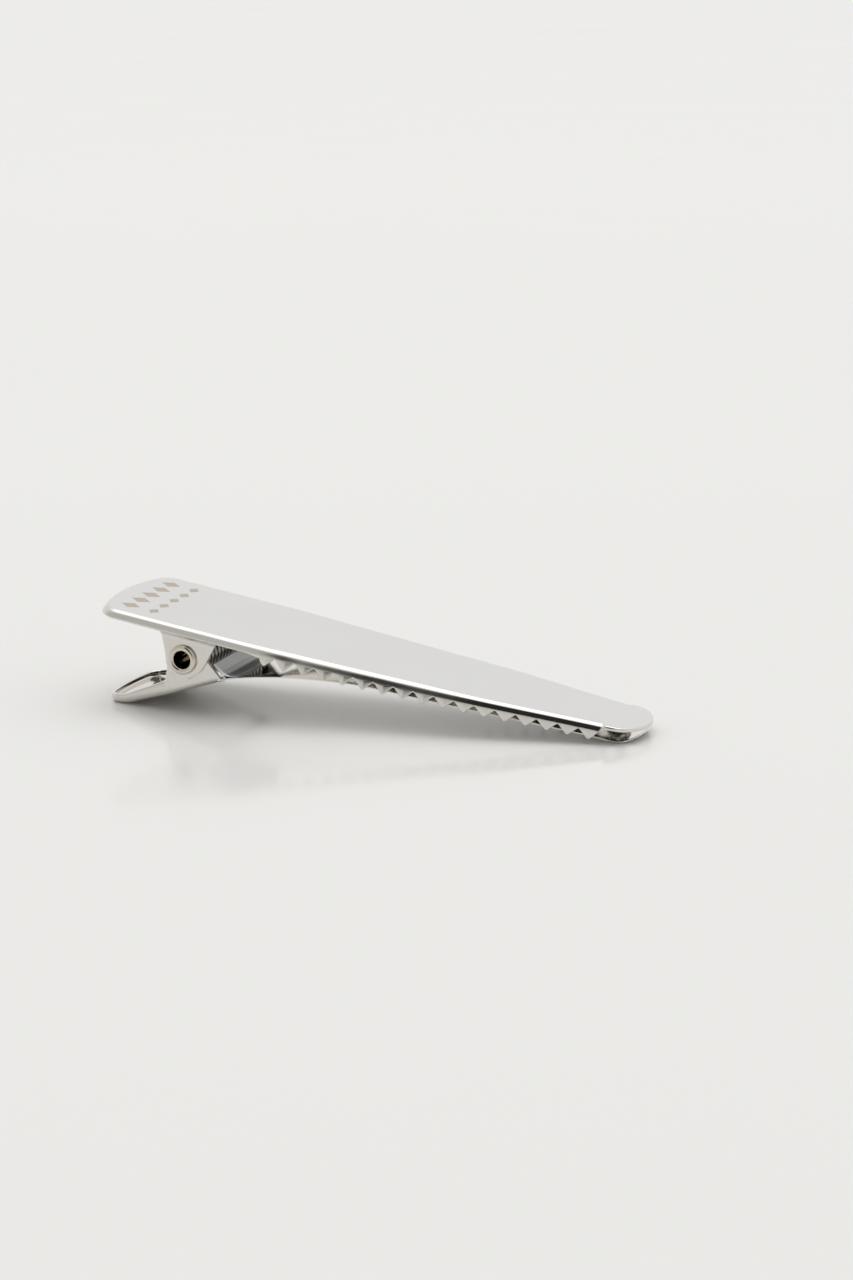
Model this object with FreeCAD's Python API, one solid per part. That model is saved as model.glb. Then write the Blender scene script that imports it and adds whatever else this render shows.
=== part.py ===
import FreeCAD, Part
import math
import os
from FreeCAD import Vector

# Alligator hair clip of stamped sheet steel, resting on a table.
#
# Four pieces: a flat upper plate with a rolled rim, two ears and toothed skirts; a lower
# plate whose rear is a spoon-shaped finger lever and whose front is a thin jaw; a tubular
# rivet through the four ears; and a torsion spring coiled round the rivet.
#
# Frame, in millimetres: the origin is the middle of the rivet, +X points to the jaw tips,
# +Y runs along the rivet and +Z points up. The clip stands on the plane z = -FLOOR_DROP.
# The upper plate is drawn level and then turned nose down by PLATE_PITCH about the rivet.

# Sheet and pose
SHEET = 0.5             # thickness of both plates
PLATE_PITCH = 9.35      # degrees that the upper plate leans nose down at rest
FLOOR_DROP = 8.15       # height of the rivet's axis above the table

# Upper plate, in its own level frame
PLATE_TOP = 4.7         # height of the top face above the rivet's axis
PLATE_REAR = -15.3      # rear end
PLATE_TIP = 66.7        # front end
PLATE_HALF = 10.8       # half width at the rivet
REAR_BOW = 2.1          # how far the rear end bows out beyond its corners
REAR_CORNER = 3.1       # radius of the rear corners in plan
NOSE_RADIUS = 7.5       # radius of the front end in plan
NOSE_CORNER = 3.0       # radius between the front end and the sides
RIM_RADIUS = 1.2        # outside radius of the rolled rim
RIM_END = 61.5          # where the rim and skirts stop short of the tip
REAR_SKIRT = 1.25       # depth of the skirt behind and over the ears
TOOTH_ROOT = 1.2        # depth of the gaps between teeth
TOOTH_TIP = 2.33        # depth of the tooth tips
TOOTH_PITCH = 2.95
TOOTH_COUNT = 17
FIRST_TOOTH = 12.5      # tip of the first tooth
UPPER_EAR_FACE = 10.15  # outer face of the ears from the middle plane
UPPER_EAR_TOP = 4.6     # half length of an ear where it leaves the plate
UPPER_EAR_NECK = (4.15, 2.9)    # where its straight sides begin to draw in
UPPER_EAR_END = 2.9     # radius of its rounded end

# Lower plate
EAR_GAP = 0.1           # play between an upper ear and the lower ear inside it
LOWER_EAR_END = 2.55    # radius of the ear's rounded end
CORNER = (5.8, -2.9)    # bottom front corner of the ears
LEVER_SLOPE = 0.317     # rise of the lever's floor per millimetre
LEVER_REAR = -13.7      # rear end of the finger lever
LEVER_HALF = 7.0        # half width of the lever at its rear
LEVER_CORNER = 2.6      # radius of its rear corners in plan
LEVER_EDGE = 0.9        # outside radius along the lever's bottom edge
HEEL_RADIUS = 8.0       # radius of the bend where the lever's floor meets the table
WALL_TOP = [(-3.26, -3.5), (-10.7, -6.6), (-16.0, -7.1)]
JAW_SHEET = 0.3         # thickness of the jaw, which is pressed thinner than the rest
JAW_TIP = 66.2          # front end of the jaw
JAW_UNDERSIDE = [(5.0, -2.96), (5.8, -2.72), (9.8, -2.12), (14.4, -1.72), (18.5, -1.64),
                 (22.5, -1.78), (26.6, -2.1), (33.0, -3.05), (45.0, -4.95), (57.0, -6.95),
                 (60.3, -7.55), (62.3, -7.95), (63.8, -8.05), (65.2, -7.6), (66.2, -7.02)]
STOP_FOOT = (5.45, -2.6)        # the spring stop stands up from the floor here
STOP_CREST = (4.1, -0.85)       # and leans back to here
STOP_HALF = 8.9         # half width of the spring stop
WINDOW_HALF = 8.2       # half width of the window it leaves in the floor behind it
WINDOW_REAR = 3.3

# Rivet
RIVET_OUTER = 1.5       # radius
RIVET_BORE = 1.25       # radius
FLANGE_PLACE = 10.46    # middle of each rolled flange from the middle plane
FLANGE_RING = 1.6       # radius of the flange's ring
FLANGE_ROLL = 0.28      # radius of its roll
PIVOT_PLAY = 0.05       # radial play of the upper ears on the rivet

# Spring
WIRE = 1.1              # wire diameter
COIL_RADIUS = 2.8       # radius of the coil's centre line
COIL_PITCH = 1.15
FULL_TURNS = 13
LEG_LENGTH = 7.4
LEG_LEAN = 0.9          # how far each leg leans inwards over its length
LEG_GAP = 0.02          # left between a leg's end and the sheet it bears on

UNDERSIDE = PLATE_TOP - SHEET
UPPER_EAR_BACK = UPPER_EAR_FACE - SHEET
LOWER_EAR_FACE = UPPER_EAR_BACK - EAR_GAP
LEVER_ANGLE = math.atan(LEVER_SLOPE)
FLOOR_HEEL = CORNER[0] - (FLOOR_DROP + CORNER[1]) / LEVER_SLOPE
Y_AXIS = Vector(0, 1, 0)
ORIGIN = Vector(0, 0, 0)
WIDE = 30.0             # reach of tools that cut right across the clip
DEEP = 12.0             # reach of plan view tools below and above the rivet


def line(a, b):
    return Part.LineSegment(a, b).toShape()


def arc(a, b, c):
    return Part.Arc(a, b, c).toShape()


def polyline(points):
    return [line(a, b) for a, b in zip(points, points[1:])]


def edge_through(points):
    """A straight edge through two points or an arc through three."""
    return line(*points) if len(points) == 2 else arc(*points)


def solid(edges, direction):
    """The solid swept by the area inside the edges along a direction."""
    ordered = Part.__sortEdges__(edges)
    return Part.Face(Part.Wire(ordered)).extrude(direction)


def side(point, y=WIDE):
    """A point of a side view outline."""
    return Vector(point[0], y, point[1])


def across(edges):
    """A side view outline, drawn at y = WIDE, pushed right across the clip."""
    return solid(edges, Vector(0, -2 * WIDE, 0))


def plan_solid(half, ends):
    """The upright solid inside a plan outline: its +Y half, mirrored, and its two ends."""
    edges = [edge_through([Vector(x, y, -DEEP) for x, y in points]) for points in ends]
    for points in half:
        for flip in (1, -1):
            edges.append(edge_through([Vector(x, y * flip, -DEEP) for x, y in points]))
    return solid(edges, Vector(0, 0, 2 * DEEP))


def round_uprights(shape, radius, x_from, x_to):
    """Round the upright edges that stand between two places along the clip."""
    chosen = [edge for edge in shape.Edges
              if edge.BoundBox.ZLength > DEEP and x_from < edge.CenterOfMass.x < x_to]
    return shape.makeFillet(radius, chosen)


def inset(shape, distance):
    """The same upright solid with its sides moved inwards."""
    bottom = min(shape.Faces, key=lambda face: face.CenterOfMass.z)
    outline = bottom.OuterWire.makeOffset2D(-distance)
    return Part.Face(outline).extrude(Vector(0, 0, 2 * DEEP))


def rounded_below(shape, top, radius):
    """Cut an upright solid off level at a height and round its top edges."""
    lowered = shape.copy()
    lowered.translate(Vector(0, 0, top - DEEP))
    edges = [edge for edge in lowered.Edges if abs(edge.BoundBox.ZMin - top) < 1e-4]
    return lowered.makeFillet(radius, edges)


def tangent_point(point, radius, turn):
    """Where the line from a point touches the circle of that radius about the rivet."""
    angle = math.atan2(point[1], point[0])
    angle += turn * math.acos(radius / math.hypot(point[0], point[1]))
    return radius * math.cos(angle), radius * math.sin(angle)


def slab(shape_edges, y_from, y_to):
    """A side view outline, drawn at y = 0, as a plate between two distances."""
    plate = solid(shape_edges, Vector(0, y_to - y_from, 0))
    plate.translate(Vector(0, y_from, 0))
    return plate


def on_both_sides(shape):
    return [shape, shape.mirror(ORIGIN, Y_AXIS)]


def cross_bore(radius):
    """A cylinder along the rivet's axis, longer than the clip is wide."""
    return Part.makeCylinder(radius, 2 * WIDE, Vector(0, -WIDE, 0), Y_AXIS)


def skirt_side_view():
    """Everything above the lower edge of the skirts, teeth included."""
    root = PLATE_TOP - TOOTH_ROOT
    tip = PLATE_TOP - TOOTH_TIP
    middle = (root + tip) / 2
    quarter = TOOTH_PITCH / 4
    first = FIRST_TOOTH - quarter
    points = [(PLATE_REAR - 1, PLATE_TOP - REAR_SKIRT), (UPPER_EAR_TOP, PLATE_TOP - REAR_SKIRT),
              (UPPER_EAR_TOP + 0.6, middle), (first, middle)]
    edges = polyline([side(p) for p in points])
    for tooth in range(TOOTH_COUNT):
        crest = FIRST_TOOTH + tooth * TOOTH_PITCH
        edges.append(arc(side((crest - quarter, middle)), side((crest, tip)),
                         side((crest + quarter, middle))))
        if tooth < TOOTH_COUNT - 1:
            edges.append(arc(side((crest + quarter, middle)), side((crest + 2 * quarter, root)),
                             side((crest + 3 * quarter, middle))))
    last = FIRST_TOOTH + (TOOTH_COUNT - 1) * TOOTH_PITCH + quarter
    closing = [(last, middle), (RIM_END, root + 0.2), (RIM_END, DEEP),
               (PLATE_REAR - 1, DEEP), (PLATE_REAR - 1, PLATE_TOP - REAR_SKIRT)]
    return across(edges + polyline([side(p) for p in closing]))


def upper_ear():
    """One ear, drawn on the +Y side."""
    neck_x, neck_z = UPPER_EAR_NECK
    end_x, end_z = tangent_point(UPPER_EAR_NECK, UPPER_EAR_END, -1)
    top = UNDERSIDE + SHEET / 2
    points = [(-end_x, end_z), (-neck_x, neck_z), (-UPPER_EAR_TOP, top),
              (UPPER_EAR_TOP, top), (neck_x, neck_z), (end_x, end_z)]
    edges = polyline([side(p, 0) for p in points])
    edges.append(arc(side((end_x, end_z), 0), side((0, -UPPER_EAR_END), 0),
                     side((-end_x, end_z), 0)))
    return slab(edges, UPPER_EAR_BACK, UPPER_EAR_FACE)


def upper_plate():
    nose_x = PLATE_TIP - 2.74
    nose_y = math.sqrt(NOSE_RADIUS ** 2 - (nose_x - PLATE_TIP + NOSE_RADIUS) ** 2)
    rear_x = PLATE_REAR + REAR_BOW
    half = [[(rear_x, PLATE_HALF - 0.05), (-0.9, PLATE_HALF)],
            [(-0.9, PLATE_HALF), (30.0, 9.6), (nose_x, nose_y)]]
    ends = [[(rear_x, PLATE_HALF - 0.05), (PLATE_REAR, 0), (rear_x, 0.05 - PLATE_HALF)],
            [(nose_x, nose_y), (PLATE_TIP, 0), (nose_x, -nose_y)]]
    blank = plan_solid(half, ends)
    blank = round_uprights(blank, NOSE_CORNER, nose_x - 1, nose_x + 1)
    blank = round_uprights(blank, REAR_CORNER, rear_x - 1, rear_x + 1)
    outside = rounded_below(blank, PLATE_TOP, RIM_RADIUS)
    inside = rounded_below(inset(blank, SHEET), UNDERSIDE, RIM_RADIUS - SHEET)
    skirted = outside.cut(inside).common(skirt_side_view())
    tip_box = Part.makeBox(WIDE, 2 * WIDE, SHEET, Vector(RIM_END - SHEET, -WIDE, UNDERSIDE))
    tongue_tip = rounded_below(blank, PLATE_TOP, 0.2).common(tip_box)
    pieces = [tongue_tip]
    bridge = Part.makeBox(2 * UPPER_EAR_TOP, SHEET, 2 * SHEET,
                          Vector(-UPPER_EAR_TOP, UPPER_EAR_FACE - 0.1, PLATE_TOP - REAR_SKIRT))
    for piece in on_both_sides(upper_ear()) + on_both_sides(bridge):
        pieces.append(piece.common(outside))
    plate = skirted.multiFuse(pieces).removeSplitter()
    plate = plate.cut(cross_bore(RIVET_OUTER + PIVOT_PLAY))
    plate.rotate(ORIGIN, Y_AXIS, PLATE_PITCH)
    return plate


def lever_floor(lift):
    """Everything above the lever's floor, raised by the sheet or not."""
    rise = lift / math.cos(LEVER_ANGLE)
    heel = FLOOR_HEEL - (rise - lift) / LEVER_SLOPE
    front = 9.0
    points = [(LEVER_REAR - 3, lift - FLOOR_DROP), (heel, lift - FLOOR_DROP),
              (front, CORNER[1] + LEVER_SLOPE * (front - CORNER[0]) + rise),
              (front, DEEP), (LEVER_REAR - 3, DEEP), (LEVER_REAR - 3, lift - FLOOR_DROP)]
    return across(polyline([side(p) for p in points]))


def lever_side_view():
    """The walls of the lever and the ears that rise from them."""
    front = tangent_point(CORNER, LOWER_EAR_END, 1)
    rear = tangent_point(WALL_TOP[0], LOWER_EAR_END, -1)
    below = [(WALL_TOP[-1][0], -DEEP), (CORNER[0], -DEEP), CORNER, front]
    edges = polyline([side(p) for p in below])
    edges.append(arc(side(front), side((0, LOWER_EAR_END)), side(rear)))
    edges += polyline([side(p) for p in [rear] + WALL_TOP + below[:1]])
    return across(edges)


def lever_hollow(outline, lift, radius):
    """The space above the lever's floor inside an outline, its heel and bottom edge rounded."""
    body = outline.common(lever_floor(lift))
    heel = [edge for edge in body.Edges
            if edge.BoundBox.XLength < 0.01 and abs(edge.CenterOfMass.x - FLOOR_HEEL) < 1.0
            and edge.BoundBox.YLength > WINDOW_HALF]
    body = body.makeFillet(HEEL_RADIUS - lift, heel)
    edges = []
    for edge in body.Edges:
        box = edge.BoundBox
        level_across = box.YLength > WINDOW_HALF and box.XLength < 0.01
        if box.ZMax < CORNER[1] + 1.7 and not level_across:
            edges.append(edge)
    return body.makeFillet(radius, edges)


def jaw_strip(outline):
    """The thin jaw, from the ears' corner to the lip at its tip."""
    bottom = Part.BSplineCurve()
    bottom.interpolate([side(p) for p in JAW_UNDERSIDE])
    steps = 60
    top_points = []
    for step in range(steps + 1):
        place = bottom.FirstParameter + (bottom.LastParameter - bottom.FirstParameter) * step / steps
        along = bottom.tangent(place)[0]
        top_points.append(bottom.value(place) + Vector(-along.z, 0, along.x) * JAW_SHEET)
    top = Part.BSplineCurve()
    top.interpolate(top_points)
    edges = [bottom.toShape(), top.toShape(),
             line(bottom.value(bottom.FirstParameter), top_points[0]),
             line(bottom.value(bottom.LastParameter), top_points[-1])]
    return across(edges).common(outline)


def lower_plate():
    corner_x = LEVER_REAR + 0.7
    rear = [(corner_x, LEVER_HALF), (LEVER_REAR, 0), (corner_x, -LEVER_HALF)]
    lever_half = [[(corner_x, LEVER_HALF), (-3.2, LOWER_EAR_FACE)],
                  [(-3.2, LOWER_EAR_FACE), (9.0, LOWER_EAR_FACE)]]
    front = [(9.0, LOWER_EAR_FACE), (9.0, -LOWER_EAR_FACE)]
    lever_outline = plan_solid(lever_half, [rear, front])
    lever_outline = round_uprights(lever_outline, LEVER_CORNER, corner_x - 1, corner_x + 1)
    jaw_half = [[(5.0, 9.4), (6.8, 9.35)], [(6.8, 9.35), (33.0, 8.15), (61.3, 4.9)]]
    jaw_ends = [[(5.0, 9.4), (5.0, -9.4)], [(61.3, 4.9), (JAW_TIP, 0), (61.3, -4.9)]]
    jaw_outline = plan_solid(jaw_half, jaw_ends)
    outside = lever_hollow(lever_outline, 0, LEVER_EDGE)
    inside = lever_hollow(inset(lever_outline, SHEET), SHEET, LEVER_EDGE - SHEET)
    lever = outside.cut(inside).common(lever_side_view())
    window = Part.makeBox(STOP_FOOT[0] - 0.3 - WINDOW_REAR, 2 * WINDOW_HALF, 3.0,
                          Vector(WINDOW_REAR, -WINDOW_HALF, -5.0))
    plate = lever.cut(window).fuse(jaw_strip(jaw_outline))
    lean = Vector(STOP_CREST[0] - STOP_FOOT[0], 0, STOP_CREST[1] - STOP_FOOT[1]).normalize()
    across_sheet = Vector(-lean.z, 0, lean.x) * SHEET
    foot = side(STOP_FOOT, 0)
    crest = side(STOP_CREST, 0)
    outline_points = [foot, crest, crest + across_sheet, foot + across_sheet, foot]
    stop = slab(polyline(outline_points), -STOP_HALF, STOP_HALF)
    plate = plate.fuse(stop).removeSplitter()
    return plate.cut(cross_bore(RIVET_OUTER))


def pivot_rivet():
    tube = Part.makeCylinder(RIVET_OUTER, 2 * FLANGE_PLACE, Vector(0, -FLANGE_PLACE, 0), Y_AXIS)
    flange = Part.makeTorus(FLANGE_RING, FLANGE_ROLL, Vector(0, FLANGE_PLACE, 0), Y_AXIS)
    rivet = tube.multiFuse(on_both_sides(flange))
    return rivet.cut(cross_bore(RIVET_BORE))


def leg_angle(reach):
    """The angle at which a leg leaves the coil for its end to come that far from the axis."""
    span = math.hypot(COIL_RADIUS, LEG_LENGTH)
    return math.atan2(LEG_LENGTH, COIL_RADIUS) - math.acos(reach / span)


def spring_leg(start, end):
    """A straight piece of wire with a ball where it leaves the coil."""
    radius = WIRE / 2
    rod = Part.makeCylinder(radius, (end - start).Length, start, end - start)
    return rod.fuse(Part.makeSphere(radius, start))


def torsion_spring():
    floor_distance = (FLOOR_DROP + FLOOR_HEEL * LEVER_SLOPE) * math.cos(LEVER_ANGLE) - SHEET
    lower = LEVER_ANGLE + leg_angle(floor_distance - WIRE / 2 - LEG_GAP)
    upper = math.radians(PLATE_PITCH) + leg_angle(UNDERSIDE - WIRE / 2 - LEG_GAP)
    start = lower - math.pi / 2
    turns = FULL_TURNS + (math.pi - upper - lower) / (2 * math.pi)
    length = turns * COIL_PITCH
    helix = Part.makeHelix(COIL_PITCH, length, COIL_RADIUS)
    ring = Part.Circle(Vector(COIL_RADIUS, 0, 0), Y_AXIS, WIRE / 2).toShape()
    coil = helix.makePipeShell([Part.Wire(ring)], True, True)
    coil.rotate(ORIGIN, Vector(1, 0, 0), -90)
    coil.translate(Vector(0, -length / 2, 0))
    coil.rotate(ORIGIN, Y_AXIS, -math.degrees(start))
    legs = []
    for angle, flip in ((lower, -1), (upper, 1)):
        begin = Vector(math.sin(angle), 0, flip * math.cos(angle)) * COIL_RADIUS
        begin.y = flip * length / 2
        along = Vector(-math.cos(angle), 0, flip * math.sin(angle)) * LEG_LENGTH
        along.y = -flip * LEG_LEAN
        legs.append(spring_leg(begin, begin + along))
    return coil.multiFuse(legs)


os.makedirs("parts", exist_ok=True)
for node, build in (("upper_plate", upper_plate), ("lower_plate", lower_plate),
                    ("pivot_rivet", pivot_rivet), ("torsion_spring", torsion_spring)):
    shape = build()
    solids = shape.Solids
    if len(solids) != 1 or not shape.isValid():
        raise ValueError(f"{node}: {len(solids)} solids, valid {shape.isValid()}")
    solids[0].exportStep(f"parts/{node}.step")
    print(node, round(shape.Volume, 2), shape.optimalBoundingBox(True, False))
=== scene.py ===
"""Alligator hair clip of stamped, nickel plated sheet steel on a pale glossy table.

Laid out as an add-on: one operator for each piece and one for the stage. The sizes are in
millimetres in the clip's own frame: the origin is the middle of the rivet, +X points to
the jaw tips, +Y runs along the rivet and +Z points up.
"""
import math

import bmesh
import bpy
from mathutils import Matrix, Vector


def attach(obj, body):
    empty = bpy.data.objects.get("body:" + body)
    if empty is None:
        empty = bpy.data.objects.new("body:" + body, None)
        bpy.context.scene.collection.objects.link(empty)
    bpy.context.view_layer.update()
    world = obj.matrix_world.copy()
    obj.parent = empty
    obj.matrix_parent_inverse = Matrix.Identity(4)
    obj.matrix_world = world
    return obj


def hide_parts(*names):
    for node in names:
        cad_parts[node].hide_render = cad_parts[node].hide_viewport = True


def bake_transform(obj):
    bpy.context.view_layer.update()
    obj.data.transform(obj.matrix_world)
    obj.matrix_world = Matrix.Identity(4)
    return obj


bl_info = {
    "name": "Alligator hair clip",
    "version": (1, 0, 0),
    "blender": (4, 5, 0),
    "location": "View3D > Sidebar > Hair clip",
    "description": "Builds a sheet steel alligator hair clip, its spring and its studio table",
    "category": "Object",
}

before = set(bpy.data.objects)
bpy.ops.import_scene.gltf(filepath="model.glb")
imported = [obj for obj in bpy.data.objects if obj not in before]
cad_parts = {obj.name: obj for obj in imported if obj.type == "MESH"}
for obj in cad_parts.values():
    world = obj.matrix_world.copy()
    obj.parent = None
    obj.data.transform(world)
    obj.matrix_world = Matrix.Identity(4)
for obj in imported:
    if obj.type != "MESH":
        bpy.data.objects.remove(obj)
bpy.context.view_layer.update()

MM = 0.001                  # one millimetre in metres
SHEET = 0.5                 # thickness of both plates
PITCH = math.radians(9.35)  # slope of the upper plate, down towards the jaw tips
PLATE_TOP = 4.7             # height of the top face before the plate is sloped
UNDERSIDE = PLATE_TOP - SHEET
UPPER_EAR_FACE = 10.15      # outer faces of the ears, from the middle plane
LOWER_EAR_FACE = 9.55
SKIRT_LEAN = 0.158          # outward lean of the skirt, width per height
CORNER = (5.8, -2.9)        # where the lower ears, the lever and the jaw meet
LEVER_SLOPE = 0.317         # rise of the lever's floor for its length
STOP_HALF = 8.9             # half width of the spring stop
TABLE = -8.15               # height of the table
RIVET_RADIUS = 1.5
NEAR_WALL = 0.56            # light of the studio on the -Y side, where the camera stands
FAR_WALL = 0.87             # and on the +Y side
CEILING = 1.25              # and overhead


# Mesh helpers

def smoothstep(low, high, value):
    """0 below low, 1 above high and an eased rise between them."""
    t = min(1.0, max(0.0, (value - low) / (high - low)))
    return t * t * (3 - 2 * t)


def sample(start, end, step):
    """Evenly spaced values from start up to, but not including, end."""
    count = max(1, round(abs(end - start) / step))
    return [start + (end - start) * i / count for i in range(count)]


def arc_points(centre, radius, start, end, count):
    """Points on an arc in plan, angles in radians, without its last point."""
    return [(centre[0] + radius * math.cos(a), centre[1] + radius * math.sin(a))
            for a in (start + (end - start) * i / count for i in range(count))]


def inward_normals(points):
    """Plan normals that point into a clockwise run of points (rear, +Y side, nose)."""
    normals = []
    for i, (x, y) in enumerate(points):
        before = points[max(i - 1, 0)]
        after = points[min(i + 1, len(points) - 1)]
        along = Vector((after[0] - before[0], after[1] - before[1])).normalized()
        normals.append((along.y, -along.x))
    return normals


def mesh_object(name, bm, turn=None, smooth_angle=40):
    """A finished object in metres from a bmesh in millimetres, with its edges sharpened."""
    bmesh.ops.remove_doubles(bm, verts=bm.verts, dist=1e-5)
    bmesh.ops.recalc_face_normals(bm, faces=bm.faces)
    place = Matrix.Scale(MM, 4)
    if turn is not None:
        place = turn @ place
    bm.transform(place)
    mesh = bpy.data.meshes.new(name)
    bm.to_mesh(mesh)
    bm.free()
    mesh.shade_smooth()
    mesh.set_sharp_from_angle(angle=math.radians(smooth_angle))
    obj = bpy.data.objects.new(name, mesh)
    bpy.context.scene.collection.objects.link(obj)
    return obj


def grid_faces(bm, rows, closed_rows=False, closed_columns=False):
    """Quads between neighbouring rows of vertices."""
    row_count = len(rows) if closed_rows else len(rows) - 1
    for i in range(row_count):
        first, second = rows[i], rows[(i + 1) % len(rows)]
        columns = len(first) if closed_columns else len(first) - 1
        for j in range(columns):
            k = (j + 1) % len(first)
            corners = []
            for vertex in (first[j], first[k], second[k], second[j]):
                if vertex not in corners:
                    corners.append(vertex)
            if len(corners) > 2:
                bm.faces.new(corners)


def formed_sheet(half_outline, section, open_front=False):
    """Sheet metal drawn over a plan outline that is mirrored about the middle plane.

    section(x) gives (inset, height) pairs from the middle of one face, round the
    sheet's edge, to the middle of its other face.
    """
    bm = bmesh.new()
    normals = inward_normals(half_outline)
    sides = []
    for flip in (1, -1):
        rows = []
        for (x, y), (nx, ny) in zip(half_outline, normals):
            row = []
            for inset, height in section(x):
                at_x = x + nx * inset
                at_y = max(0.0, y + ny * inset)
                top = height(at_x) if callable(height) else height
                row.append(bm.verts.new((at_x, at_y * flip, top)))
            rows.append(row)
        grid_faces(bm, rows)
        sides.append(rows)
    for end in (0, -1):
        for one, other in zip(zip(sides[0], sides[0][1:]), zip(sides[1], sides[1][1:])):
            corners = [one[0][end], one[1][end], other[1][end], other[0][end]]
            bm.faces.new(corners)
    bmesh.ops.remove_doubles(bm, verts=bm.verts, dist=1e-4)
    if open_front:
        front = max(x for x, _ in half_outline)
        loose = [e for e in bm.edges if e.is_boundary and e.verts[0].co.x > front - 0.01]
        bmesh.ops.holes_fill(bm, edges=loose, sides=0)
    return bm


def cut_away(obj, cutter_bm):
    """Subtract a cutter from a finished object and leave a plain mesh."""
    cutter = mesh_object("cutter", cutter_bm)
    hole = obj.modifiers.new("cut", "BOOLEAN")
    hole.operation = "DIFFERENCE"
    hole.solver = "EXACT"
    hole.object = cutter
    graph = bpy.context.evaluated_depsgraph_get()
    cut = bpy.data.meshes.new_from_object(obj.evaluated_get(graph))
    obj.modifiers.clear()
    obj.data = cut
    cut.set_sharp_from_angle(angle=math.radians(35))
    bpy.data.objects.remove(cutter)
    return obj


def rod_along_rivet(bm, radius, reach):
    """A cylinder on the rivet's axis."""
    place = Matrix.Rotation(math.pi / 2, 4, "X")
    bmesh.ops.create_cone(bm, cap_ends=True, segments=96, radius1=radius, radius2=radius,
                          depth=2 * reach, matrix=place)


def finish_piece(obj, body, node, materials):
    """Give a piece its materials, its body and the part it stands for."""
    for material in materials:
        obj.data.materials.append(material)
    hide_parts(node)
    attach(obj, body)


# Material helpers

def linear(hex_colour):
    """An sRGB hex colour as linear red, green, blue and alpha."""
    values = [int(hex_colour[i:i + 2], 16) / 255 for i in (1, 3, 5)]
    return tuple(v / 12.92 if v <= 0.04045 else ((v + 0.055) / 1.055) ** 2.4
                 for v in values) + (1.0,)


def node(tree, kind, settings=None, **inputs):
    """Add a node. Inputs are named by socket, or in_0, in_1 by place, as values or links."""
    made = tree.nodes.new(kind)
    for name, value in (settings or {}).items():
        setattr(made, name, value)
    for name, value in inputs.items():
        key = int(name[3:]) if name.startswith("in_") else name.replace("_", " ")
        socket = made.inputs[key]
        if isinstance(value, bpy.types.NodeSocket):
            tree.links.new(value, socket)
        else:
            socket.default_value = value
    return made


def blank_material(name):
    """A new material and its node tree with only the output left."""
    material = bpy.data.materials.new(name)
    material.use_nodes = True
    tree = material.node_tree
    tree.nodes.clear()
    return material, tree


def close_material(tree, shader):
    node(tree, "ShaderNodeOutputMaterial", Surface=shader.outputs[0])


def polished_nickel(name, colour, roughness, metallic=1.0):
    """Bright nickel plate over pressed steel: mirror-like, with faint waviness and smudges.

    The press leaves the sheet very slightly wavy over 2 to 6 mm, which makes long soft
    streaks in its reflections. Handling leaves faint patches that are a little duller.
    """
    material, tree = blank_material(name)
    place = node(tree, "ShaderNodeTexCoord").outputs["Object"]
    patches = node(tree, "ShaderNodeTexNoise", Vector=place, Scale=160.0, Detail=4.0)
    rough = node(tree, "ShaderNodeMapRange", Value=patches.outputs["Fac"], From_Min=0.3,
                 From_Max=0.75, To_Min=roughness, To_Max=roughness + 0.05)
    wave = node(tree, "ShaderNodeTexNoise", Vector=place, Scale=260.0, Detail=1.0)
    bump = node(tree, "ShaderNodeBump", Height=wave.outputs["Fac"], Strength=0.12,
                Distance=0.00005)
    shader = node(tree, "ShaderNodeBsdfPrincipled", Base_Color=linear(colour),
                  Metallic=metallic, Roughness=rough.outputs[0], Normal=bump.outputs[0])
    close_material(tree, shader)
    return material


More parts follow.
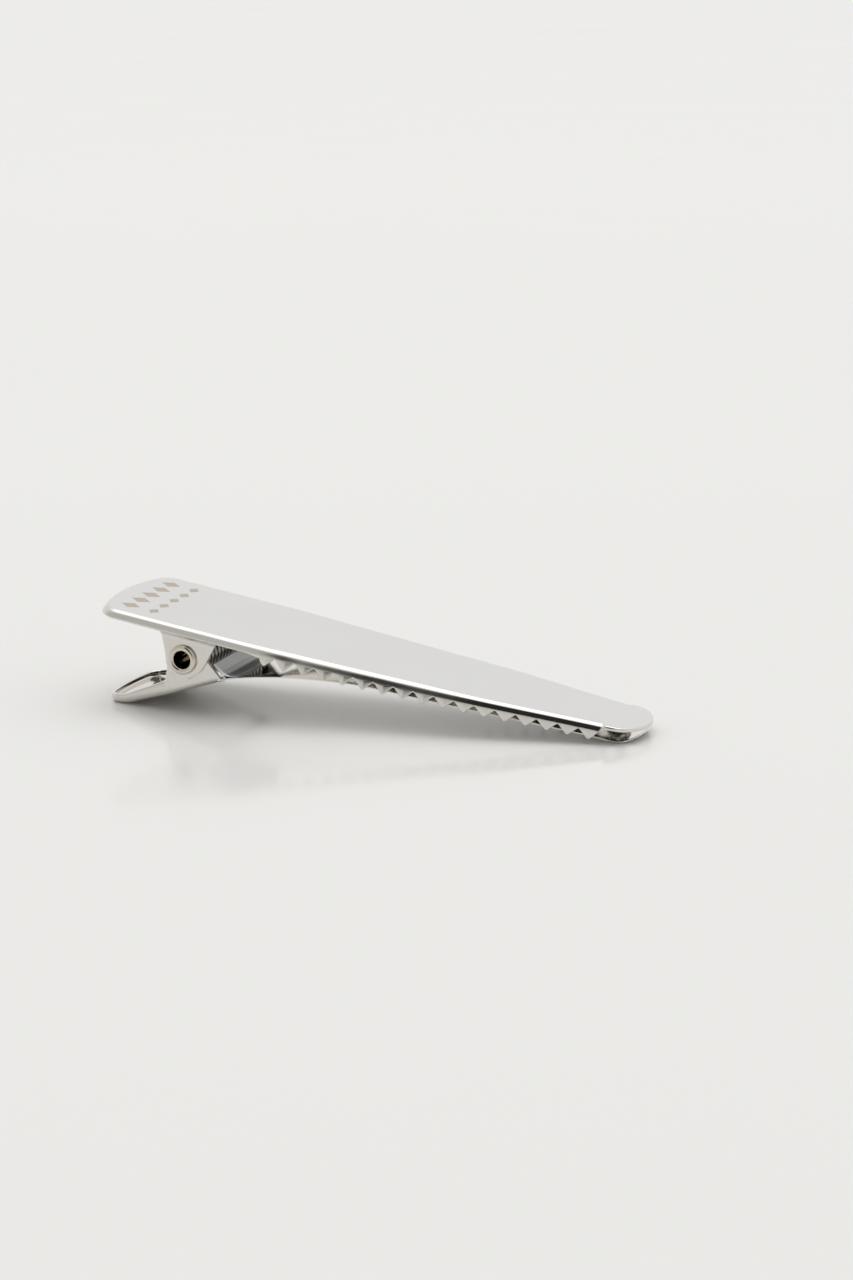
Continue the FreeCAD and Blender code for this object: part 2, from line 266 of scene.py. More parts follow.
def satin_nickel_with_motif():
    """Satin nickel on the flat top, finely brushed, with matt sand coloured lozenges.

    The brushing runs along the clip; its real spacing is about 0.05 mm. The lozenges are
    laser marked: they lose the metal's gloss and turn a warm grey.
    """
    settings = bpy.context.scene.clip_finish
    material, tree = blank_material("satin_nickel_plate_with_laser_motif")
    place = node(tree, "ShaderNodeTexCoord").outputs["Object"]
    level = node(tree, "ShaderNodeMapping", Vector=place, Rotation=(0.0, -PITCH, 0.0))
    axes = node(tree, "ShaderNodeSeparateXYZ", Vector=level.outputs[0])
    along, across = axes.outputs["X"], axes.outputs["Y"]

    def maths(operation, first, second=0.0):
        return node(tree, "ShaderNodeMath", {"operation": operation},
                    in_0=first, in_1=second).outputs[0]

    half_pitch = settings.motif_pitch / 2
    beside = maths("DIVIDE", maths("PINGPONG", across, half_pitch), half_pitch * 0.72)
    inside_width = maths("LESS_THAN", maths("ABSOLUTE", across), settings.motif_pitch * 2.5)
    rows = []
    for centre, length in ((-10.6, 1.5), (-6.9, 0.8)):
        offset = maths("ABSOLUTE", maths("SUBTRACT", along, centre * MM))
        shape = maths("ADD", maths("DIVIDE", offset, length * MM), beside)
        rows.append(maths("LESS_THAN", shape, 1.0))
    mask = maths("MULTIPLY", maths("MAXIMUM", rows[0], rows[1]), inside_width)
    up = node(tree, "ShaderNodeSeparateXYZ",
              Vector=node(tree, "ShaderNodeNewGeometry").outputs["Normal"]).outputs["Z"]
    mask = maths("MULTIPLY", mask, maths("GREATER_THAN", up, 0.9))

    brushed = node(tree, "ShaderNodeMapping", Vector=level.outputs[0],
                   Scale=(0.06, 1.0, 1.0))
    grain = node(tree, "ShaderNodeTexNoise", Vector=brushed.outputs[0], Scale=9000.0,
                 Detail=3.0)
    clouds = node(tree, "ShaderNodeTexNoise", Vector=place, Scale=90.0, Detail=3.0)
    satin = node(tree, "ShaderNodeMapRange", Value=clouds.outputs["Fac"], From_Min=0.3,
                 From_Max=0.7, To_Min=0.27, To_Max=0.33)
    rough = node(tree, "ShaderNodeMix", {"data_type": "FLOAT"}, in_0=mask,
                 in_2=satin.outputs[0], in_3=0.62)
    metal = linear(settings.top_colour_hex)
    mark = linear(settings.motif_colour_hex)
    colour = node(tree, "ShaderNodeMix", {"data_type": "RGBA"}, in_0=mask, in_6=metal,
                  in_7=mark)
    gloss = maths("SUBTRACT", 1.0, maths("MULTIPLY", mask, 0.75))
    bump = node(tree, "ShaderNodeBump", Height=grain.outputs["Fac"], Strength=0.08,
                Distance=0.00002)
    shader = node(tree, "ShaderNodeBsdfPrincipled", Base_Color=colour.outputs[2],
                  Metallic=gloss, Roughness=rough.outputs[0], Normal=bump.outputs[0])
    close_material(tree, shader)
    return material


def drawn_spring_wire():
    """Oil tempered spring wire: dark grey, half bright, with draw marks along it."""
    material, tree = blank_material("oil_tempered_spring_wire")
    place = node(tree, "ShaderNodeTexCoord").outputs["Object"]
    squeezed = node(tree, "ShaderNodeMapping", Vector=place, Scale=(0.25, 1.0, 0.25))
    draw = node(tree, "ShaderNodeTexNoise", Vector=squeezed.outputs[0], Scale=5000.0,
                Detail=3.0)
    stain = node(tree, "ShaderNodeTexNoise", Vector=place, Scale=500.0, Detail=3.0)
    colour = node(tree, "ShaderNodeMix", {"data_type": "RGBA"},
                  in_0=stain.outputs["Fac"], in_6=linear("#8F8D8A"),
                  in_7=linear("#B9B6B1"))
    bump = node(tree, "ShaderNodeBump", Height=draw.outputs["Fac"], Strength=0.3,
                Distance=0.00002)
    shader = node(tree, "ShaderNodeBsdfPrincipled", Base_Color=colour.outputs[2],
                  Metallic=1.0, Roughness=0.28, Normal=bump.outputs[0])
    close_material(tree, shader)
    return material


# Properties

class ClipFinish(bpy.types.PropertyGroup):
    top_colour_hex: bpy.props.StringProperty(
        name="Top colour", description="Colour of the satin top face", default="#E1E1E2")
    rim_colour_hex: bpy.props.StringProperty(
        name="Rim colour", description="Colour of the polished plate", default="#DEDBD5")
    motif_colour_hex: bpy.props.StringProperty(
        name="Motif colour", description="Colour of the marked lozenges", default="#BDB3A6")
    motif_pitch: bpy.props.FloatProperty(
        name="Motif pitch", description="Spacing of the lozenges across the plate",
        default=3.3 * MM, unit="LENGTH")


class UpperPlateSizes(bpy.types.PropertyGroup):
    rim_radius: bpy.props.FloatProperty(
        name="Rim radius", description="Outside radius of the rolled rim, in millimetres",
        default=1.08)
    tooth_pitch: bpy.props.FloatProperty(
        name="Tooth pitch", description="Distance between teeth, in millimetres",
        default=2.95)
    tooth_count: bpy.props.IntProperty(
        name="Teeth", description="Teeth on each side", default=17)
    first_tooth: bpy.props.FloatProperty(
        name="First tooth", description="Distance of the first tooth from the rivet, in "
        "millimetres", default=12.5)
    tooth_root: bpy.props.FloatProperty(
        name="Gap height", description="Height of the gaps between teeth above the rivet's "
        "axis, in millimetres", default=3.5)
    tooth_tip: bpy.props.FloatProperty(
        name="Tip height", description="Height of the tooth tips above the rivet's axis, "
        "in millimetres", default=2.22)


class SpringSizes(bpy.types.PropertyGroup):
    wire_diameter: bpy.props.FloatProperty(
        name="Wire diameter", description="In millimetres", default=1.1)
    coil_radius: bpy.props.FloatProperty(
        name="Coil radius", description="Radius of the wire's centre line, in millimetres",
        default=2.8)
    coil_pitch: bpy.props.FloatProperty(
        name="Coil pitch", description="Advance per turn, in millimetres", default=1.15)
    full_turns: bpy.props.IntProperty(
        name="Full turns", description="Whole turns in the coil", default=13)
    leg_length: bpy.props.FloatProperty(
        name="Leg length", description="In millimetres", default=7.4)


# The upper plate

def plate_half_width(x):
    """Half width of the upper plate beside a place along it."""
    fuller = 0.6 * smoothstep(-1.0, 15.0, x) * (1 - smoothstep(40.0, 61.5, x))
    if x < -0.9:
        return 10.755 + 0.045 * (x + 11.014) / 10.114 + fuller
    run = x + 0.86
    return 10.8 - 0.035 * run - 0.000655 * run * run + fuller


def plate_outline():
    """Half the plan of the upper plate, from the middle of its rear end to its nose."""
    rear_centre, rear_radius = (13.1, 0.0), 28.4
    corner_centre, corner_radius = (-11.014, 7.655), 3.1
    shoulder_centre, shoulder_radius = (62.33, 2.93), 3.0
    nose_centre, nose_radius = (58.9, 0.0), 7.5
    corner_start = math.atan2(7.655, -24.114)
    shoulder_end = math.atan2(2.93, 3.43)
    points = arc_points(rear_centre, rear_radius, math.pi, corner_start, 14)
    points += arc_points(corner_centre, corner_radius, corner_start, math.pi / 2, 10)
    runs = ((-11.014, -6.0, 0.7), (-6.0, 11.6, 0.3), (11.6, 62.68, 2.95 / 20))
    for start, end, step in runs:
        points += [(x, plate_half_width(x)) for x in sample(start, end, step)]
    points += arc_points(shoulder_centre, shoulder_radius, math.radians(83.4),
                         shoulder_end, 10)
    points += arc_points(nose_centre, nose_radius, shoulder_end, 0, 16)
    points.append((66.4, 0.0))
    return points


def skirt_edge(x, sizes):
    """Height of the skirt's lower edge."""
    middle = (sizes.tooth_root + sizes.tooth_tip) / 2
    swing = (sizes.tooth_root - sizes.tooth_tip) / 2
    start = sizes.first_tooth - sizes.tooth_pitch / 4
    end = start + (sizes.tooth_count - 0.5) * sizes.tooth_pitch
    if x < start:
        return 3.45 + (middle + 0.3 - 3.45) * smoothstep(9.0, start, x)
    if x < end:
        phase = 2 * math.pi * (x - sizes.first_tooth) / sizes.tooth_pitch
        return middle - swing * math.asin(0.95 * math.cos(phase)) / math.asin(0.95)
    climb = min(1.0, (x - end) / (62.2 - end))
    return middle + (4.17 - middle) * (1 - (1 - climb) ** 2)


def upper_section(x, sizes):
    """The plate's cross-section: underside, inner roll, cut edge, outer roll and top."""
    fade = smoothstep(61.3, 61.9, x)
    roll = sizes.rim_radius + (0.22 - sizes.rim_radius) * fade
    inner_roll = max(roll - SHEET, 0.03)
    low = skirt_edge(x, sizes)
    edge_round = 0.2 * (1 - fade) + 0.05 * fade
    steps = 8
    lean = SKIRT_LEAN * smoothstep(4.6, 18.0, x) * (1 - smoothstep(30.0, 48.0, x)) * (1 - fade)

    def drawn_in(z):
        return lean * max(0.0, z - sizes.tooth_tip)

    section = [(SHEET + inner_roll + 0.25, UNDERSIDE)]
    for i in range(steps + 1):
        angle = math.pi / 2 * (1 - i / steps)
        z = UNDERSIDE - inner_roll + inner_roll * math.sin(angle)
        section.append((SHEET + inner_roll * (1 - math.cos(angle)) + drawn_in(z), z))
    section += [(SHEET + drawn_in(low), low + 0.06), (SHEET - 0.06 + drawn_in(low), low)]
    for i in range(5):
        angle = math.pi / 2 * i / 4
        z = low + edge_round * (1 - math.cos(angle))
        section.append((edge_round * (1 - math.sin(angle)) + drawn_in(z), z))
    top_of_skirt = PLATE_TOP - roll
    start = max(top_of_skirt, low + edge_round + 0.01)
    section.append((drawn_in(start), start))
    for i in range(1, 2 * steps + 1):
        angle = math.pi / 2 * i / (2 * steps)
        z = top_of_skirt + roll * math.sin(angle)
        section.append((roll * (1 - math.cos(angle)) + drawn_in(max(z, start)), max(z, start)))
    section += [(section[-1][0] + 0.03, PLATE_TOP), (section[-1][0] + 0.35, PLATE_TOP)]
    return section


def upper_ear_half_width(z):
    """Half width of an upper ear at a height."""
    if z > 2.9:
        return 4.15 + 0.45 * (z - 2.9)
    touch_x, touch_z = 2.723, -0.998
    if z > touch_z:
        return touch_x + (4.15 - touch_x) * (z - touch_z) / (2.9 - touch_z)
    return math.sqrt(max(0.0, 2.9 ** 2 - z * z))


def ear_sheet(bm, flip):
    """One upper ear: a tapering tab with a round end that steps out to join the rim."""
    heights = sample(4.05, -1.0, 0.22)
    heights += [-1.0 - 1.9 * math.sin(math.pi / 2 * i / 14) for i in range(15)]
    columns = 18
    rounding = 0.08
    rows = []
    for z in heights:
        half = max(upper_ear_half_width(z), 0.02)
        face = UPPER_EAR_FACE + 0.5 * smoothstep(2.75, 3.95, z)
        forward = 0.35 * smoothstep(-2.9, 1.0, z)
        ring = []
        for i in range(columns + 1):
            x = half * (2 * i / columns - 1) + forward
            inset = rounding if i in (0, columns) else 0.0
            ring.append(bm.verts.new((x, (face - inset) * flip, z)))
        for i in range(columns, -1, -1):
            x = half * (2 * i / columns - 1) + forward
            inset = rounding if i in (0, columns) else 0.0
            ring.append(bm.verts.new((x, (face - SHEET + inset) * flip, z)))
        rows.append(ring)
    grid_faces(bm, rows, closed_columns=True)
    bm.faces.new(rows[0])
    bm.faces.new(list(reversed(rows[-1])))


class CLIP_OT_upper_plate(bpy.types.Operator):
    """Build the upper plate: rolled rim, toothed skirts, bare tip and two ears"""
    bl_idname = "hair_clip.upper_plate"
    bl_label = "Upper plate"

    def execute(self, context):
        sizes = context.scene.clip_upper_plate
        finish = context.scene.clip_finish
        turn = Matrix.Rotation(PITCH, 4, "Y")
        bm = formed_sheet(plate_outline(), lambda x: upper_section(x, sizes))
        plate = mesh_object("upper_plate_sheet", bm, turn)
        satin = satin_nickel_with_motif()
        polished = polished_nickel("polished_nickel_rim", finish.rim_colour_hex, 0.09)
        finish_piece(plate, "upper_jaw", "upper_plate", [polished, satin])
        top = turn.to_3x3() @ Vector((0, 0, 1))
        for face in plate.data.polygons:
            if face.normal.dot(top) > 0.985:
                face.material_index = 1

        ears = bmesh.new()
        for flip in (1, -1):
            ear_sheet(ears, flip)
        ears = mesh_object("upper_plate_ears", ears, turn)
        cutter = bmesh.new()
        rod_along_rivet(cutter, RIVET_RADIUS + 0.05, 14)
        cut_away(ears, cutter)
        finish_piece(ears, "upper_jaw", "upper_plate", [polished])
        return {"FINISHED"}


# The lower plate

def lever_floor(x):
    """Height of the lever's outer floor, eased where it meets the table."""
    slope = CORNER[1] + LEVER_SLOPE * (x - CORNER[0])
    gap, blend = slope - TABLE, 0.25
    if gap < -blend:
        return TABLE
    return slope if gap > blend else TABLE + (gap + blend) ** 2 / (4 * blend)


def lever_wall_top(x):
    """Height of the lever's walls and of the ears that rise from them."""
    points = [(-16.0, -7.1), (-10.7, -6.6), (-3.26, -3.5), (-2.543, 0.19)]
    lobe_end = (2.04, 1.53)
    if x < points[-1][0]:
        for (x0, z0), (x1, z1) in zip(points, points[1:]):
            if x <= x1:
                return z0 + (z1 - z0) * (x - x0) / (x1 - x0)
    if x < lobe_end[0]:
        return math.sqrt(2.55 ** 2 - x * x)
    share = (x - lobe_end[0]) / (CORNER[0] - lobe_end[0])
    return lobe_end[1] + (CORNER[1] - lobe_end[1]) * share


def lever_outline():
    """Half the plan of the lever, from the middle of its rear end to the ears' corner."""
    rear_end, corner_end = math.radians(171.39), math.radians(104.58)
    points = arc_points((21.15, 0.0), 35.35, math.pi, rear_end, 14)
    points += arc_points((-11.23, 4.904), 2.6, rear_end, corner_end, 12)
    points += [(x, 7.42 + (x + 11.885) * 0.2423) for x in sample(-11.885, -4.6, 0.4)]
    bend_start, bend_end = (-4.6, 9.185), (-1.9, LOWER_EAR_FACE)
    for i in range(12):
        t = i / 12
        corner = (-3.2, LOWER_EAR_FACE)
        points.append(tuple((1 - t) ** 2 * a + 2 * t * (1 - t) * b + t * t * c
                            for a, b, c in zip(bend_start, corner, bend_end)))
    points += [(x, LOWER_EAR_FACE) for x in sample(-1.9, CORNER[0] + 0.2, 0.12)]
    points.append((CORNER[0] + 0.2, LOWER_EAR_FACE))
    return points


def lever_section(x):
    """The lever's cross-section: inner floor, inner wall, wall top, outer wall and floor."""
    crest, rounding = lever_wall_top(x), 0.14
    bend = min(0.9, max(0.15, 0.6 * (crest - lever_floor(x))))
    inner_bend = max(bend - SHEET, 0.03)
    section = [(SHEET + inner_bend + 0.3, lambda at: lever_floor(at) + SHEET * 1.05)]
    for i in range(6):
        angle = math.pi / 2 * (1 - i / 5)
        section.append((SHEET + inner_bend * (1 - math.cos(angle)),
                        lambda at, a=angle: lever_floor(at) + SHEET * 1.05
                        + inner_bend * (1 - math.sin(a))))
    low = lever_floor(x) + bend
    crest = max(crest, low + rounding + 0.02)
    section.append((SHEET, crest - rounding))
    for i in range(1, 6):
        angle = math.pi * i / 6
        section.append((SHEET / 2 + SHEET / 2 * math.cos(angle),
                        crest - rounding + rounding * math.sin(angle)))
    section.append((0.0, crest - rounding))
    for i in range(9):
        angle = math.pi / 2 * i / 8
        section.append((bend * (1 - math.cos(angle)),
                        lambda at, a=angle: lever_floor(at) + bend * (1 - math.sin(a))))
    section.append((bend + 0.3, lever_floor))
    return section


JAW_SHEET = 0.22
JAW_UNDERSIDE = [(5.0, -2.96), (5.8, -2.72), (9.8, -2.12), (14.4, -1.72), (18.5, -1.64),
                 (22.5, -1.78), (26.6, -2.1), (33.0, -3.05), (45.0, -4.95), (57.0, -6.95),
                 (60.3, -7.55), (62.3, -7.95), (63.8, -8.05), (65.2, -7.6), (66.2, -7.02)]


def smooth_run(points, steps):
    """Points on a smooth curve that passes through the given points."""
    run = []
    last = len(points) - 1
    for i in range(last):
        p = [Vector(points[min(max(j, 0), last)]) for j in (i - 1, i, i + 1, i + 2)]
        chord = p[2] - p[1]
        lead = (p[2] - p[0]).normalized() * chord.length
        trail = (p[3] - p[1]).normalized() * chord.length
        for k in range(steps):
            t = k / steps
            run.append((2 * t ** 3 - 3 * t * t + 1) * p[1] + (t ** 3 - 2 * t * t + t) * lead
                       + (3 * t * t - 2 * t ** 3) * p[2] + (t ** 3 - t * t) * trail)
    run.append(Vector(points[-1]))
    return run


def jaw_half_width(x):
    """Half width of the lower jaw at a place along it."""
    if x < 6.8:
        return LOWER_EAR_FACE - (LOWER_EAR_FACE - 9.3) * smoothstep(5.4, 6.8, x)
    if x < 61.3:
        return plate_half_width(x) - 1.2
    return math.sqrt(max(0.0, 4.9 ** 2 - (x - 61.3) ** 2))


def jaw_sheet():
    """The thin lower jaw: a bowed strip whose round tip curls up into a lip."""
    bm = bmesh.new()
    path = smooth_run(JAW_UNDERSIDE, 10)
    rows = []
    columns = 24
    for i, place in enumerate(path):
        before, after = path[max(i - 1, 0)], path[min(i + 1, len(path) - 1)]
        along = (after - before).normalized()
        upward = Vector((-along.y, along.x)) * JAW_SHEET
        half = max(jaw_half_width(place.x), 0.05)
        side = []
        for j in range(columns + 1):
            side.append((half * (1 - 2 * j / columns), 0.14 if j in (0, columns) else 0.0))
        ring = [(place + upward * c, y) for y, c in side]
        ring += [(place + upward * (1 - c), y) for y, c in reversed(side)]
        rows.append([bm.verts.new((p.x, y, p.y)) for p, y in ring])
    grid_faces(bm, rows, closed_columns=True)
    bm.faces.new(rows[0])
    bm.faces.new(list(reversed(rows[-1])))
    return bm


def spring_stop():
    """The broad tab bent up from the window, which keeps the coil from creeping forward."""
    bm = bmesh.new()
    line = smooth_run([(7.8, -2.14), (7.0, -2.24), (6.2, -2.28), (5.5, -2.05),
                       (4.95, -1.65), (4.5, -1.25), (4.1, -0.85)], 6)
    rows = []
    for i, place in enumerate(line):
        before, after = line[max(i - 1, 0)], line[min(i + 1, len(line) - 1)]
        along = (after - before).normalized()
        thickness = 0.08 + 0.32 * smoothstep(0.1, 0.5, i / (len(line) - 1))
        rear = place - Vector((-along.y, along.x)) * thickness
        ring = [(place, STOP_HALF), (place, -STOP_HALF), (rear, -STOP_HALF),
                (rear, STOP_HALF)]
        rows.append([bm.verts.new((p.x, y, p.y)) for p, y in ring])
    grid_faces(bm, rows, closed_columns=True)
    bm.faces.new(rows[0])
    bm.faces.new(list(reversed(rows[-1])))
    return bm


class CLIP_OT_lower_plate(bpy.types.Operator):
    """Build the lower plate: finger lever with its ears, spring stop and thin jaw"""
    bl_idname = "hair_clip.lower_plate"
    bl_label = "Lower plate"

    def execute(self, context):
        finish = context.scene.clip_finish
        polished = polished_nickel("polished_nickel_lever", finish.rim_colour_hex, 0.07)
        lever = mesh_object("lower_plate_lever",
                            formed_sheet(lever_outline(), lever_section, open_front=True))
        cutter = bmesh.new()
        rod_along_rivet(cutter, RIVET_RADIUS, 14)
        window = Matrix.Translation((4.4, 0, -3.6)) @ Matrix.Diagonal((2.2, 16.4, 2.6, 1))
        bmesh.ops.create_cube(cutter, size=1.0, matrix=window)
        cut_away(lever, cutter)
        finish_piece(lever, "lower_jaw", "lower_plate", [polished])
        jaw = mesh_object("lower_plate_jaw", jaw_sheet())
        finish_piece(jaw, "lower_jaw", "lower_plate", [polished])
        stop = mesh_object("lower_plate_spring_stop", spring_stop())
        # The stop is left with a paler, duller face that reflects only partly as metal. Its
        # pale bluish white colour is a painted reflection of the bright surroundings, lit as a
        # partly diffuse surface.
        stop_painted_reflection_finish = polished_nickel("stop_nickel_painted_reflection", "#EEF2F7", 0.34, metallic=0.6)
        finish_piece(stop, "lower_jaw", "lower_plate", [stop_painted_reflection_finish])
        return {"FINISHED"}


# The rivet

class CLIP_OT_rivet(bpy.types.Operator):
    """Build the tubular rivet with its two rolled flanges"""
    bl_idname = "hair_clip.rivet"
    bl_label = "Rivet"

    def execute(self, context):
        profile = [(1.25, 0.0), (1.25, 10.1)]
        ring_radius, ring_place, roll = 1.7, 10.44, 0.3
        for i in range(17):
            angle = math.pi + math.pi * 1.35 * i / 16
            profile.append((ring_radius + 1.4 * roll * math.cos(angle),
                            ring_place - roll * math.sin(angle)))
        profile += [(1.9, 10.2), (1.5, 10.17), (1.5, 0.0)]
        full = profile + [(r, -y) for r, y in reversed(profile)]
        bm = bmesh.new()
        segments = 96
        rows = []
        for i in range(segments):
            angle = 2 * math.pi * i / segments
            rows.append([bm.verts.new((r * math.cos(angle), y, r * math.sin(angle)))
                         for r, y in full])
        grid_faces(bm, rows, closed_rows=True, closed_columns=True)
        rivet = mesh_object("rivet_tube", bm)
        polished = polished_nickel("polished_nickel_rivet", "#D9D2C6", 0.06)
        finish_piece(rivet, "lower_jaw", "pivot_rivet", [polished])
        return {"FINISHED"}


# The spring

def spring_line(sizes):
    """The wire's centre line, one leg end to the other, in millimetres."""
    radius = sizes.coil_radius
    span = math.hypot(radius, sizes.leg_length)
    gap = sizes.wire_diameter / 2 + 0.02
    slope = math.atan(LEVER_SLOPE)
    floor = -(CORNER[1] - LEVER_SLOPE * CORNER[0]) * math.cos(slope) - SHEET

    def leg_angle(reach):
        return math.atan2(sizes.leg_length, radius) - math.acos(reach / span)

    lower = slope + leg_angle(floor - gap)
    upper = PITCH + leg_angle(UNDERSIDE - gap)
    start = lower - math.pi / 2
    turns = sizes.full_turns + (math.pi - upper - lower) / (2 * math.pi)
    half = turns * sizes.coil_pitch / 2
    points = []
    steps = 48
    count = round(turns * steps)
    for i in range(count + 1):
        angle = start + 2 * math.pi * turns * i / count
        points.append(Vector((radius * math.cos(angle), -half + 2 * half * i / count,
                              radius * math.sin(angle))))
    legs = []
    for angle, flip, foot in ((lower, -1, points[0]), (upper, 1, points[-1])):
        reach = Vector((-math.cos(angle), 0, flip * math.sin(angle))) * sizes.leg_length
        leg = []
        for i in range(1, 17):
            t = i / 16
            lean = -flip * 0.9 * (0.25 * t * t + 0.75 * t)
            leg.append(foot + reach * t + Vector((0, lean, 0)))
        legs.append(leg)
    return list(reversed(legs[0])) + points + legs[1]


def wire_tree(material):
    """Geometry nodes that draw round wire along a line."""
    tree = bpy.data.node_groups.new("round_wire", "GeometryNodeTree")
    face = tree.interface
    face.new_socket("Geometry", in_out="INPUT", socket_type="NodeSocketGeometry")
    thick = face.new_socket("Wire radius", in_out="INPUT", socket_type="NodeSocketFloat")
    sides = face.new_socket("Wire sides", in_out="INPUT", socket_type="NodeSocketInt")
    thick.default_value = 0.5 * MM
    sides.default_value = 20
    face.new_socket("Geometry", in_out="OUTPUT", socket_type="NodeSocketGeometry")
    given = node(tree, "NodeGroupInput").outputs
    run = node(tree, "GeometryNodeMeshToCurve", in_0=given["Geometry"])
    ring = node(tree, "GeometryNodeCurvePrimitiveCircle", {"mode": "RADIUS"},
                Resolution=given["Wire sides"], Radius=given["Wire radius"])
    wire = node(tree, "GeometryNodeCurveToMesh", Curve=run.outputs[0],
                Profile_Curve=ring.outputs[0], Fill_Caps=True)
    real = node(tree, "GeometryNodeRealizeInstances", in_0=wire.outputs[0])
    painted = node(tree, "GeometryNodeSetMaterial", Geometry=real.outputs[0],
                   Material=material)
    node(tree, "NodeGroupOutput", in_0=painted.outputs[0])
    return tree, thick.identifier, sides.identifier


class CLIP_OT_spring(bpy.types.Operator):
    """Build the torsion spring: a close wound coil with two legs"""
    bl_idname = "hair_clip.spring"
    bl_label = "Spring"

    def execute(self, context):
        sizes = context.scene.clip_spring
        points = [p * MM for p in spring_line(sizes)]
        line = bpy.data.meshes.new("spring_line")
        line.from_pydata(points, [(i, i + 1) for i in range(len(points) - 1)], [])
        spring = bpy.data.objects.new("torsion_spring_wire", line)
        context.scene.collection.objects.link(spring)
        tree, thick, sides = wire_tree(drawn_spring_wire())
        wind = spring.modifiers.new("round_wire", "NODES")
        wind.node_group = tree
        wind[thick] = sizes.wire_diameter / 2 * MM
        wind[sides] = 20
        graph = context.evaluated_depsgraph_get()
        mesh = bpy.data.meshes.new_from_object(spring.evaluated_get(graph))
        spring.modifiers.clear()
        spring.data = mesh
        mesh.shade_smooth()
        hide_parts("torsion_spring")
        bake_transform(spring)
        return {"FINISHED"}


# The stage

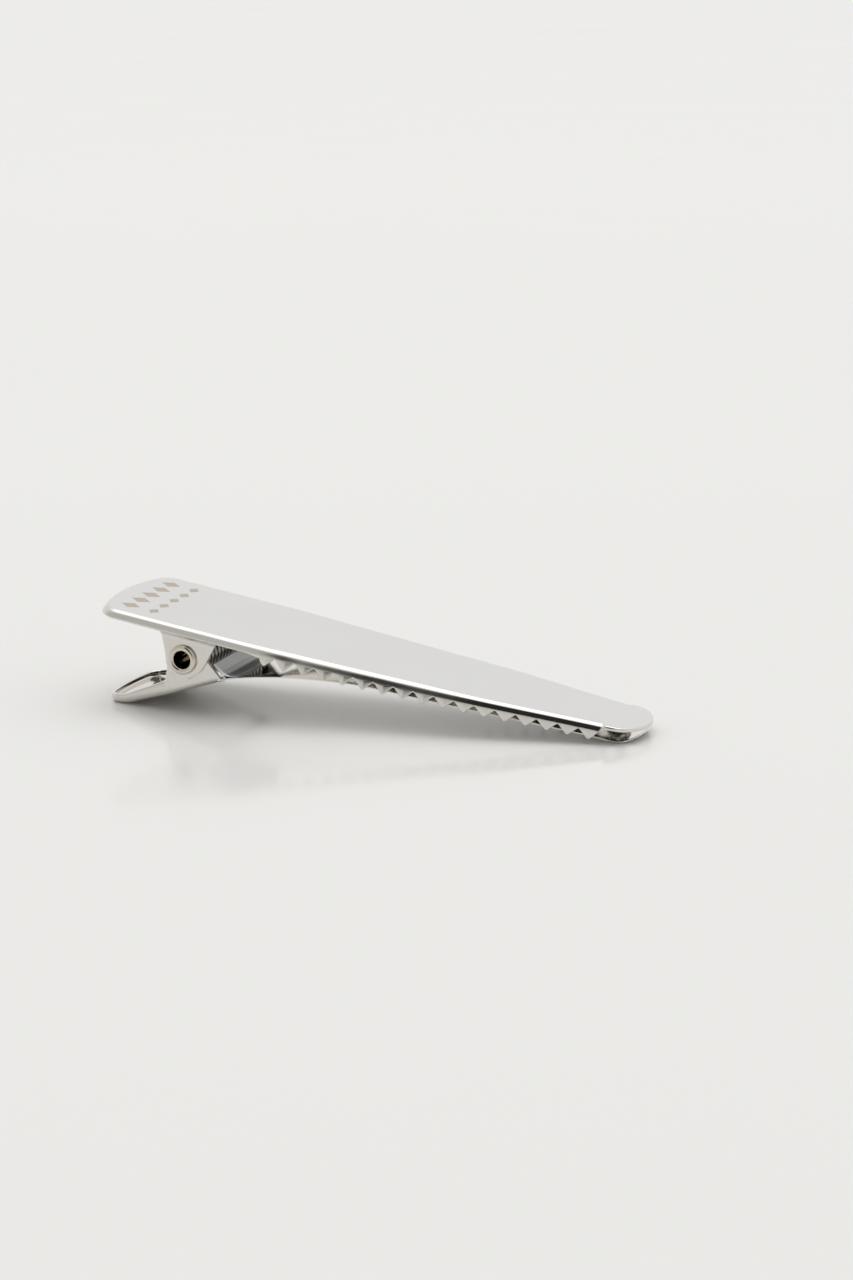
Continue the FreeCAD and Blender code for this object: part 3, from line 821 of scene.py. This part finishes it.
class CLIP_OT_stage(bpy.types.Operator):
    """Lay the pale glossy table, hang the soft studio light and set up the camera"""
    bl_idname = "hair_clip.stage"
    bl_label = "Stage"

    def execute(self, context):
        scene = context.scene
        scene.view_settings.view_transform = "Standard"
        bm = bmesh.new()
        bmesh.ops.create_grid(bm, x_segments=4, y_segments=4, size=6000)
        bmesh.ops.translate(bm, verts=bm.verts, vec=(0, 0, TABLE - 0.01))
        table = mesh_object("table_top", bm)
        material, tree = blank_material("white_acrylic_sheet")
        place = node(tree, "ShaderNodeTexCoord").outputs["Object"]
        haze = node(tree, "ShaderNodeTexNoise", Vector=place, Scale=25.0, Detail=3.0)
        rough = node(tree, "ShaderNodeMapRange", Value=haze.outputs["Fac"], To_Min=0.10,
                     To_Max=0.16)
        shader = node(tree, "ShaderNodeBsdfPrincipled", Base_Color=linear("#F2F2F1"),
                      Roughness=rough.outputs[0], IOR=1.3)
        close_material(tree, shader)
        table.data.materials.append(material)

        world = bpy.data.worlds.new("studio")
        scene.world = world
        world.use_nodes = True
        tree = world.node_tree
        tree.nodes.clear()
        toward = node(tree, "ShaderNodeTexCoord").outputs["Generated"]
        axes = node(tree, "ShaderNodeSeparateXYZ", Vector=toward).outputs
        behind = node(tree, "ShaderNodeMapRange", {"interpolation_type": "SMOOTHSTEP"},
                      Value=axes["Y"], From_Min=-0.6, From_Max=0.3, To_Min=NEAR_WALL,
                      To_Max=FAR_WALL).outputs[0]
        dark_way = Vector((0.05, -1.0, 0.0)).normalized()
        flat = node(tree, "ShaderNodeVectorMath", {"operation": "MULTIPLY"}, in_0=toward,
                    in_1=(1.0, 1.0, 0.0)).outputs[0]
        level = node(tree, "ShaderNodeVectorMath", {"operation": "NORMALIZE"}, in_0=flat)
        facing = node(tree, "ShaderNodeVectorMath", {"operation": "DOT_PRODUCT"},
                      in_0=level.outputs[0], in_1=dark_way).outputs["Value"]
        shade = node(tree, "ShaderNodeMapRange", {"interpolation_type": "SMOOTHSTEP"},
                     Value=facing, From_Min=0.957, From_Max=0.975, To_Min=1.0, To_Max=0.04)
        walls = node(tree, "ShaderNodeMath", {"operation": "MULTIPLY"}, in_0=behind,
                     in_1=shade.outputs[0])
        lifted = node(tree, "ShaderNodeMath", {"operation": "MULTIPLY_ADD"}, in_0=axes["Y"],
                      in_1=0.2, in_2=axes["Z"])
        height = node(tree, "ShaderNodeMapRange", {"interpolation_type": "SMOOTHSTEP"},
                      Value=lifted.outputs[0], From_Min=0.8, From_Max=0.92)
        room = node(tree, "ShaderNodeMix", {"data_type": "FLOAT"}, in_0=height.outputs[0],
                    in_2=walls.outputs[0], in_3=CEILING)
        tint = node(tree, "ShaderNodeMix", {"data_type": "RGBA", "blend_type": "MULTIPLY"},
                    in_0=1.0, in_6=room.outputs[0], in_7=linear("#FFFEFC"))
        seen = node(tree, "ShaderNodeLightPath").outputs["Is Camera Ray"]
        plain = node(tree, "ShaderNodeMix", {"data_type": "RGBA"}, in_0=seen,
                     in_6=tint.outputs[2], in_7=linear("#EBEAE8"))
        sky = node(tree, "ShaderNodeBackground", Color=plain.outputs[2], Strength=1.0)
        node(tree, "ShaderNodeOutputWorld", Surface=sky.outputs[0])

        lamp = bpy.data.lights.new("rear_softbox", "AREA")
        lamp.shape = "DISK"
        lamp.size = 1.4
        lamp.energy = 4.6
        lamp.color = (1.0, 1.0, 1.0)
        softbox = bpy.data.objects.new("rear_softbox", lamp)
        softbox.location = (-0.1, 0.5, 1.9)
        aim = Vector((0.03, 0.0, 0.0)) - softbox.location
        softbox.rotation_euler = aim.to_track_quat("-Z", "Y").to_euler()
        scene.collection.objects.link(softbox)

        lens = bpy.data.cameras.new("camera")
        lens.sensor_fit = "VERTICAL"
        lens.sensor_height = 24.0
        lens.lens = 75.0
        lens.clip_start = 0.01
        lens.clip_end = 50.0
        camera = bpy.data.objects.new("camera", lens)
        right = Vector((0.92561, 0.37808, -0.01732))
        down = Vector((0.07693, -0.23276, -0.96949))
        ahead = Vector((-0.37057, 0.89604, -0.24453))
        camera.matrix_world = Matrix.Translation((0.24093, -0.50261, 0.14019)) @ Matrix(
            (right, -down, -ahead)).transposed().to_4x4()
        scene.collection.objects.link(camera)
        scene.camera = camera
        return {"FINISHED"}


class CLIP_PT_panel(bpy.types.Panel):
    """Sidebar panel that lists the clip's pieces"""
    bl_idname = "CLIP_PT_panel"
    bl_label = "Hair clip"
    bl_space_type = "VIEW_3D"
    bl_region_type = "UI"
    bl_category = "Hair clip"

    def draw(self, context):
        for group in (context.scene.clip_finish, context.scene.clip_upper_plate,
                      context.scene.clip_spring):
            for name in group.__annotations__:
                self.layout.prop(group, name)
        for operator in OPERATORS:
            self.layout.operator(operator.bl_idname)


OPERATORS = (CLIP_OT_upper_plate, CLIP_OT_lower_plate, CLIP_OT_rivet, CLIP_OT_spring,
             CLIP_OT_stage)
CLASSES = (ClipFinish, UpperPlateSizes, SpringSizes) + OPERATORS + (CLIP_PT_panel,)


def register():
    for cls in CLASSES:
        bpy.utils.register_class(cls)
    bpy.types.Scene.clip_finish = bpy.props.PointerProperty(type=ClipFinish)
    bpy.types.Scene.clip_upper_plate = bpy.props.PointerProperty(type=UpperPlateSizes)
    bpy.types.Scene.clip_spring = bpy.props.PointerProperty(type=SpringSizes)


def unregister():
    del bpy.types.Scene.clip_spring
    del bpy.types.Scene.clip_upper_plate
    del bpy.types.Scene.clip_finish
    for cls in reversed(CLASSES):
        bpy.utils.unregister_class(cls)


def main():
    register()
    bpy.ops.hair_clip.stage()
    bpy.ops.hair_clip.upper_plate()
    bpy.ops.hair_clip.lower_plate()
    bpy.ops.hair_clip.rivet()
    bpy.ops.hair_clip.spring()


if __name__ == "__main__":
    main()
